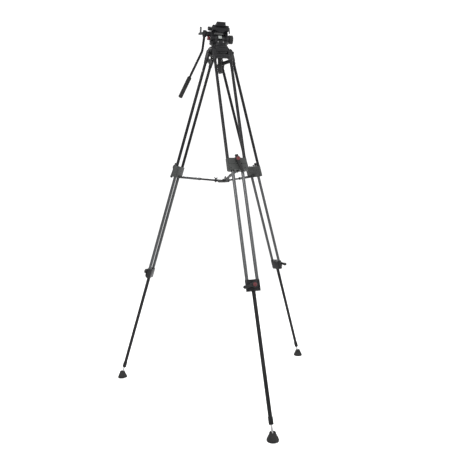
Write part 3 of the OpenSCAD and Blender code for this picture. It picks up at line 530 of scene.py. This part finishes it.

# %% [markdown]
# ## Tie-down handle
# The long handle under the bowl that draws the levelling ball down. It's a hollow moulding with twelve raised
# ribs round it and a rounded end; its top is dished for the clamp washer.

# %% Tie-down handle
BALL_Z = RIM_Z - 0.003
top = BALL_Z - 0.0451
profile = [(0, -76), (8.5, -76), (10.6, -75), (11.5, -73), (11.5, -69), (11.1, -68.2), (11.1, -67.2), (11.5, -66.4),
           (11.5, -34), (11.1, -33.2), (9.4, -31.0), (8.6, -29.6), (8.6, 0.9), (8.3, 1.1), (7.6, 0.75), (5.15, 0.4),
           (5.1, -31.6), (0, -31.6)]
tie = put(lathe([(r * MM, z * MM) for r, z in profile], 64), CENTRE, shift(0, 0, top))
piece("tie_down_handle.moulding", "tie_handle", "black_plastic",
      [tie] + [put(block(-0.0012, 0.0012, 0.0105, 0.0118, -0.062, -0.038, 0.0005), CENTRE, shift(0, 0, top),
                   turn(a, "Z")) for a in range(0, 360, 30)], ["tie_down_handle"])

# %% [markdown]
# ## Small hardware
# Socket screws, the bezel and bubble of the level, rubber strips on the camera plate and hub caps: small pieces
# that a hand or an eye finds on the real thing.

# %% Screws, level and rubber strips
def screw_parts(place, r=2.4, h=1.4):
    head = [(0, 0), (r, 0), (r, h - 0.35), (r - 0.35, h), (r * 0.52, h), (r * 0.5, h - 0.9), (0, h - 0.9)]
    return [put(lathe([(p * MM, z * MM) for p, z in head], 24), place)]


pan_screws = []
for s in (-1, 1):
    pan_screws += screw_parts(CENTRE @ shift(s * 0.0125, -0.031, RIM_Z + 0.0112) @ turn(90, "X"), 2.7, 1.4)
piece("pan_screws", "pan", "steel", pan_screws)
for n, m in LEG.items():
    mid = m @ shift(0.0124, 0, -UPPER)
    panels = [put(block(-0.0006, 0.0012, -0.038, 0.038, z0 * MM, z1 * MM, 0.0007, 3), mid)
              for z0, z1 in ((-26, -1.2), (1.2, 26))]
    panels.append(put(bar(0.0150, -0.0005, 0.0021, 0.0008, 48), mid, shift(0, 0, 0.017), ALONG_X))
    piece(f"mid_clamp_panels_{n}", "leg_" + n, "casting_grey", panels)
    dots = screw_parts(mid @ shift(0.0010, 0.0175, -0.0005) @ ALONG_X, 3.4, 1.2)
    dots += screw_parts(mid @ shift(0.0010, -0.0315, -0.0195) @ ALONG_X, 2.2, 0.9)
    dots += screw_parts(mid @ shift(0.0010, 0.0315, -0.0195) @ ALONG_X, 2.2, 0.9)
    piece(f"mid_clamp_screws_{n}", "leg_" + n, "black_anodised", dots)
    low = m @ shift(0.0114, 0, -UPPER - MIDDLE)
    ribs = [put(block(-0.0010, 0.0012, y0 * MM, y1 * MM, z0 * MM, z1 * MM, 0.0007, 3), low)
            for y0, y1, z0, z1 in ((-27, -16.5, -17, 19), (16.5, 27, -17, 19), (-15, 15, -21.6, -16), (-10, 10, 15, 21.4))]
    ribs.append(put(bar(0.0142, -0.0005, 0.0021, 0.0008, 48), low, ALONG_X))
    piece(f"lower_clamp_ribs_{n}", "middle_" + n, "black_paint", ribs)
    low_screws = []
    for s in (-1, 1):
        low_screws += screw_parts(low @ shift(0.0010, s * 0.0217, -0.0125) @ ALONG_X, 2.2, 0.9)
    piece(f"lower_clamp_screws_{n}", "middle_" + n, "black_anodised", low_screws)

front = -0.0235
frame_parts = []
for x0, x1, z0, z1 in ((-9.6, 9.6, 6.3, 7.9), (-9.6, 9.6, -7.9, -6.3), (-9.6, -8.1, -7.9, 7.9), (8.1, 9.6, -7.9, 7.9)):
    frame_parts.append(put(block(x0 * MM, x1 * MM, -0.0007, 0.0002, z0 * MM, z1 * MM, 0.0003, 2), CENTRE,
                           shift(0, front, TILT_Z)))
piece("level_bezel", "pan", "black_plastic", frame_parts)
vial = lathe([(3.0 * MM, 0), (3.3 * MM, 0), (3.3 * MM, 0.0002), (3.0 * MM, 0.0002)], 40, closed=True)
piece("level_mark", "pan", "black_plastic", [put(vial, CENTRE, shift(0, front + 0.0002, TILT_Z), turn(90, "X"))])
piece("level_bubble", "pan", "steel",
      [put(lathe([(0, 0), (2.2 * MM, 0), (1.9 * MM, 0.00025), (0, 0.0004)], 32), CENTRE,
           shift(0.0006, front + 0.0002, TILT_Z + 0.0008), turn(90, "X"))])

plate_top = DECK_TOP + 0.011
strips = []
for y0, y1 in ((-0.049, -0.012), (0.012, 0.045)):
    strips.append(put(block(-0.0175, 0.0175, y0, y1, -0.0002, 0.0006, 0.0003, 2), CENTRE, shift(0, 0, plate_top)))
    ribs = int((y1 - y0) / 0.003)
    strips += [put(block(-0.0165, 0.0165, y0 + 0.003 * k - 0.0005, y0 + 0.003 * k + 0.0005, 0.0004, 0.0010, 0.0002, 1),
                   CENTRE, shift(0, 0, plate_top)) for k in range(1, ribs)]
piece("plate_rubber", "plate", "rubber", strips)
print("hardware pieces", len(MADE))

# %% [markdown]
# ## Crown
# A cast bowl with three lugs. The bowl is turned: a ball seat inside, a rim band outside. Each lug is a convex
# casting that flows from the rim down round its hinge bolt, drawn as a side outline given the lug's width.

# %% Crown and bolts
SEAT, SHELL, RIM = 37.5, 41.5, 43.5
bowl = [(SHELL * sin(radians(a)), -SHELL * cos(radians(a))) for a in range(23, 80, 4)]
bowl += [(41.5, -5.5), (42.6, -5.0), (RIM, -3.8), (RIM, -2.4), (42.9, -1.6), (38.4, -1.6)]
bowl += [(SEAT * sin(radians(a)), -SEAT * cos(radians(a))) for a in range(87, 24, -4)]
crown_parts = [put(lathe([(r * MM, z * MM) for r, z in bowl], 96, closed=True), CENTRE, shift(0, 0, BALL_Z))]
side = [(-14, 3.0), (-9.5, 0)] + arc(0, 0, 9.5, 180, 360, 14) + [(9.6, 4), (9.0, 9), (7.4, 14), (4.6, 19), (1.0, 23),
                                                               (-3.0, 26.2), (-7.0, 27.6), (-9.0, 27.6), (-14, 20)]
SIDEWAYS = Matrix(((1, 0, 0, 0), (0, 0, -1, 0), (0, 1, 0, 0), (0, 0, 0, 1)))
for n, a in LEGS.items():
    lug = CENTRE @ turn(a, "Z") @ shift(HINGE_R, 0, HINGE_Z)
    outline = [(x * MM, z * MM) for x, z in side[1:] if x > -9.6 or z > 1]
    crown_parts.append(put(slab(outline, -0.028, 0.028, 0.0028, 4), lug, SIDEWAYS))
    crown_parts.append(put(slab([(x * MM, z * MM) for x, z in ((7.6, 10.5), (6.6, 14.6), (4.4, 18.0), (3.2, 17.2),
                                                              (5.2, 14.0), (6.2, 10.3))],
                                -0.0125, 0.0125, 0.0006, 2), lug, shift(0.0022, 0, 0.0012), SIDEWAYS))
piece("crown.casting", "crown", "black_paint", crown_parts, ["crown"], sharp=40)
bolts = []
for n, a in LEGS.items():
    for s in (-1, 1):
        head = CENTRE @ turn(a, "Z") @ shift(HINGE_R, s * 0.0465, HINGE_Z) @ turn(-90 * s, "X")
        bolts += screw_parts(head, 6.5, 3.5)
        bolts.append(put(bar(0.004, -0.019, 0.0005, 0.0002, 24), head))
piece("hinge_bolts.set", "crown", "black_anodised", bolts, ["hinge_bolts"])
print("crown parts", len(crown_parts))

# %% [markdown]
# ## Yokes
# Each leg hangs from a forked casting: two round-topped ears on the hinge bolt, a web between them with arched
# gussets under it, and two tapered sockets that the twin tubes are bonded into.

# %% Yokes
EAR_IN, EAR_OUT, EAR_R = 0.0283, 0.0462, 0.0092
for n, m in LEG.items():
    parts = []
    for s in (-1, 1):
        y0, y1 = sorted((s * EAR_IN, s * EAR_OUT))
        outline = [(x, z) for x, z in arc(0, 0, EAR_R / MM, 0, 180, 14)]
        outline += [(-8.8, -18), (-8.3, -34), (-7.2, -39), (7.2, -39), (8.3, -34), (8.8, -18)]
        parts.append(put(slab([(x * MM, z * MM) for x, z in outline], -y1, -y0, 0.004, 4), m, SIDEWAYS))
        socket = [(7.05, 0), (7.9, 0), (8.3, 1.0), (8.5, 3), (8.9, 14), (9.1, 22), (7.05, 22)]
        parts.append(put(lathe([(r * MM, z * MM) for r, z in socket], 48, closed=True), m,
                         shift(0, s * UPPER_GAP, -0.0524)))
        curve = [(34.2, -36), (16, -36)] + arc(16, -52.0, 14, 90, 0, 8) + [(34.2, -52.0)]
        parts.append(put(slab([(s * y * MM, z * MM) for y, z in curve], -0.0048, 0.0048, 0.0014, 3), m, STAND))
    parts.append(put(block(-0.0066, 0.0066, -0.0335, 0.0335, -0.0392, -0.0225, 0.0022, 4), m))
    parts.append(put(block(0.0060, 0.0072, -0.0235, 0.0235, -0.0345, -0.0270, 0.0006, 2), m))
    piece(f"leg_yoke_{n}.casting", "leg_" + n, "black_paint", parts, ["leg_yoke_" + n], sharp=40)

# %% [markdown]
# ## Head castings
# The housing is a cone cut square at front and back under a cross barrel, with the level's window boss. The
# cradle has round cheeks, a dovetailed platform with rounded edges and a tapered bare panel in front.

# %% Pan housing
AXIS_X = Matrix.Identity(4)
flare_z = RIM_Z + 0.0053
housing = []
cone = lathe([(0, 0), (0.0330, 0), (0.0338, 0.0008), (0.0462, 0.0097), (0.0462, 0.0102), (0.0456, 0.0105), (0, 0.0105)], 96)
for v in cone.verts:
    v.co.y = max(-0.031, min(0.031, v.co.y))
bmesh.ops.remove_doubles(cone, verts=cone.verts, dist=1e-6)
housing.append(put(cone, CENTRE, shift(0, 0, flare_z)))
housing.append(put(block(-0.0222, 0.0222, -0.0172, 0.0172, flare_z + 0.009, TILT_Z, 0.003, 3), CENTRE))
barrel = [(0, -24), (17.6, -24), (18.9, -23.4), (19.5, -22.2), (19.5, -19.2), (19.0, -18.6), (19.0, -17.4), (19.5, -16.8),
          (19.5, 16.8), (19.0, 17.4), (19.0, 18.6), (19.5, 19.2), (19.5, 22.2), (18.9, 23.4), (17.6, 24), (0, 24)]
housing.append(put(lathe([(r * MM, z * MM) for r, z in barrel], 72), axis, ALONG_X))
for x0, x1, z0, z1 in ((-10.5, 10.5, 6.2, 8.0), (-10.5, 10.5, -8.0, -6.2), (-10.5, -8.0, -8.0, 8.0), (8.0, 10.5, -8.0, 8.0)):
    housing.append(put(block(x0 * MM, x1 * MM, front, -0.012, z0 * MM, z1 * MM, 0.0006, 2), axis))
housing.append(put(block(-0.0098, 0.0098, front + 0.0012, -0.012, -0.0072, 0.0072, 0.0003, 1), axis))
housing.append(put(block(-0.006, 0.006, 0.017, 0.031, flare_z + 0.002, RIM_Z + 0.0205, 0.0012, 3), CENTRE))
piece("pan_housing.casting", "pan", "black_paint", housing, ["pan_housing"], sharp=40)

# %% Tilt cradle
cradle = []
cheek = [(0, 0), (17.2, 0), (18.2, 0.5), (18.5, 1.4), (18.5, 6.4), (17.9, 7.0), (17.9, 8.0), (18.5, 8.6), (18.5, 17.4),
         (17.6, 18.9), (15.8, 19.7), (13.4, 19.7), (13.0, 18.9), (0, 18.9)]
for s in (-1, 1):
    stand = axis @ shift(s * 0.0243) @ (ALONG_X if s > 0 else ALONG_MINUS_X)
    cradle.append(put(lathe([(r * MM, z * MM) for r, z in cheek], 72), stand))
    x0, x1 = sorted((s * 0.0263, s * 0.0412))
    cradle.append(put(block(x0, x1, -0.0145, 0.0145, TILT_Z, DECK_Z + 0.002, 0.002, 3), CENTRE))
groove = 15.0
deck = [(-38.5, 0), (38.5, 0), (38.5, 23), (20.6, 23), (22.3, groove), (-22.3, groove), (-20.6, 23), (-38.5, 23)]
FRONTWAYS = Matrix(((1, 0, 0, 0), (0, 0, -1, 0), (0, 1, 0, 0), (0, 0, 0, 1)))
cradle.append(put(slab([(x * MM, z * MM) for x, z in deck], -0.048, 0.042, 0.0014, 3), CENTRE, shift(0, 0, DECK_Z), FRONTWAYS))
panel = [(-9.5, -10), (9.5, -10), (22, 1.5), (-22, 1.5)]
cradle.append(put(slab([(x * MM, z * MM) for x, z in panel], 0.0332, 0.041, 0.0012, 3), CENTRE, shift(0, 0, DECK_Z), FRONTWAYS))
inner = [(-7.6, -8.2), (7.6, -8.2), (16.4, -0.4), (-16.4, -0.4)]
cradle.append(put(slab([(x * MM, z * MM) for x, z in inner], 0.0408, 0.0416, 0.0003, 2), CENTRE, shift(0, 0, DECK_Z), FRONTWAYS))
for s in (-1, 1):
    cradle.append(put(block(s * 0.030 - 0.0065, s * 0.030 + 0.0065, -0.0426, -0.0415, DECK_Z + 0.004, DECK_Z + 0.019, 0.0005, 2), CENTRE))
rosette = [(0, 0), (10.2, 0), (11, 0.8), (11, 2.4), (10.4, 3.0), (10.4, 3.8), (11, 4.4), (11, 14), (0, 14)]
cradle.append(put(lathe([(r * MM, z * MM) for r, z in rosette], 48), axis, shift(-0.05, 0, 0.020), ALONG_X))
piece("tilt_cradle.casting", "tilt", "black_paint", cradle, ["tilt_cradle"], sharp=40)
cheek_screws = []
for s in (-1, 1):
    for y in (-0.030, 0.034):
        cheek_screws += screw_parts(CENTRE @ shift(s * 0.0385, y, DECK_Z + 0.007) @ (ALONG_X if s > 0 else ALONG_MINUS_X), 1.8, 1.0)
piece("deck_screws", "tilt", "steel", cheek_screws)
print("head castings done")

# %% [markdown]
# ## Release lever and handle wing
# Both are thin pressed levers on short studs: rounded slabs, slightly curved outlines.

# %% Thin levers
LEVER = CENTRE @ shift(0.0388, -0.029, DECK_TOP - 0.009)
curve = arc(0, 0, 4.6, 20, 160, 8) + [(-5.2, -8), (-5.6, -15), (-3.6, -21)] + arc(-0.6, -21.4, 3.6, 180, 360, 8) + [(4.0, -12)]
piece("plate_release_lever.arm", "release", "grey_anodised",
      [put(bar(0.0055, 0, 0.005, 0.0006, 32), LEVER, ALONG_X), put(bar(0.003, -0.008, 0.001, 0.0003, 24), LEVER, ALONG_X),
       put(slab([(x * MM, y * MM) for x, y in curve], 0.001, 0.0058, 0.0011, 3), LEVER, turn(-8, "X"), STAND)],
      ["plate_release_lever"])
WING = CENTRE @ shift(-0.0786, 0, TILT_Z + 0.020)
el = [(-19, -7), (-2.6, -7), (-2.6, 3.6), (-4.6, 5.4), (-2.2, 27), (-3.6, 28.4), (-10, 29.2), (-11.6, 28), (-13.2, 4),
      (-14.4, 2), (-19, 2)]
piece("handle_wing.arm", "wing_nut", "grey_anodised",
      [put(slab([(x * MM, z * MM) for x, z in el], -0.0035, 0.0035, 0.0014, 3), WING, SIDEWAYS),
       put(bar(0.006, 0.0002, 0.0115, 0.0008, 32), WING, ALONG_MINUS_X),
       put(bar(0.003, -0.0035, 0.001, 0.0003, 24), WING, ALONG_MINUS_X)], ["handle_wing"])

# %% [markdown]
# ## Carried-over pieces
# Castings with bores keep the CAD shape, with their sharp edges rounded, so that tubes, pins and studs still
# fit. Cast edges get about half a millimetre.

# %% Softened castings
DONE = set()


def soft_copy(node, width=0.0005, over=35):
    slot = "black_paint" if node.startswith("lower_clamp") else SLOT_OF[node]
    ob = piece(node + ".cast", BODY_OF[node], slot, [from_node(node, width, over)], [node])
    DONE.add(node)
    return ob


hidden = {n for o in MADE for n in o.get("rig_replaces", [])}
for node in sorted(set(frame["nodes"]) - hidden):
    soft_copy(node)
print("softened", len(DONE), "faces", sum(len(o.data.polygons) for o in MADE))

# %% [markdown]
# ## Studio
# A pale floor, a large soft key above left and two fills, as in a catalogue picture. The camera stands where
# the picture's own was found to be: 2.2 m in front, a little to the left, at chest height.

# %% Floor, lights and camera
floor_mesh = bpy.data.meshes.new("floor")
bm = bmesh.new()
bmesh.ops.create_grid(bm, x_segments=1, y_segments=1, size=30)
bm.to_mesh(floor_mesh)
bm.free()
floor = bpy.data.objects.new("floor", floor_mesh)
bpy.context.scene.collection.objects.link(floor)
floor_mat = finish_material("floor", (0.92, 0.92, 0.918), (0.94, 0.94, 0.938), (0.90, 0.90, 0.897), 0.75, 0.85,
                            grain=60.0, bump=0.02, marks=2.0)
floor_mesh.materials.append(floor_mat)

world = bpy.data.worlds.new("studio")
world.use_nodes = True
world.node_tree.nodes["Background"].inputs["Color"].default_value = (1.0, 1.0, 1.0, 1.0)
world.node_tree.nodes["Background"].inputs["Strength"].default_value = 1.15
bpy.context.scene.world = world


def softbox(name, place, target, size, power):
    data = bpy.data.lights.new(name, "AREA")
    data.shape = "RECTANGLE"
    data.size, data.size_y = size
    data.energy = power
    ob = bpy.data.objects.new(name, data)
    ob.location = place
    ob.rotation_euler = (Vector(target) - Vector(place)).to_track_quat("-Z", "Y").to_euler()
    bpy.context.scene.collection.objects.link(ob)


softbox("key", (-2.2, -2.2, 3.2), (0, 0.1, 1.0), (2.0, 2.0), 110)
softbox("fill", (2.6, -1.8, 2.0), (0, 0.1, 1.0), (1.6, 2.4), 50)
softbox("rim", (0.6, 2.6, 2.8), (0, 0.1, 1.2), (2.0, 1.2), 70)

cam_data = bpy.data.cameras.new("camera")
cam_data.lens = 36.41
cam_data.sensor_width = 36.0
cam_data.clip_end = 200.0
cam = bpy.data.objects.new("camera", cam_data)
right, up, back = (0.96243, -0.26982, -0.03054), (0.03889, 0.02566, 0.99891), (-0.26874, -0.96257, 0.03519)
place = (-0.58085, -2.08856 + AXIS_Y, 0.84545)
cam.matrix_world = Matrix([(right[k], up[k], back[k], place[k]) for k in range(3)] + [(0, 0, 0, 1)])
bpy.context.scene.collection.objects.link(cam)
bpy.context.scene.camera = cam
bpy.context.scene.view_settings.view_transform = "Standard"
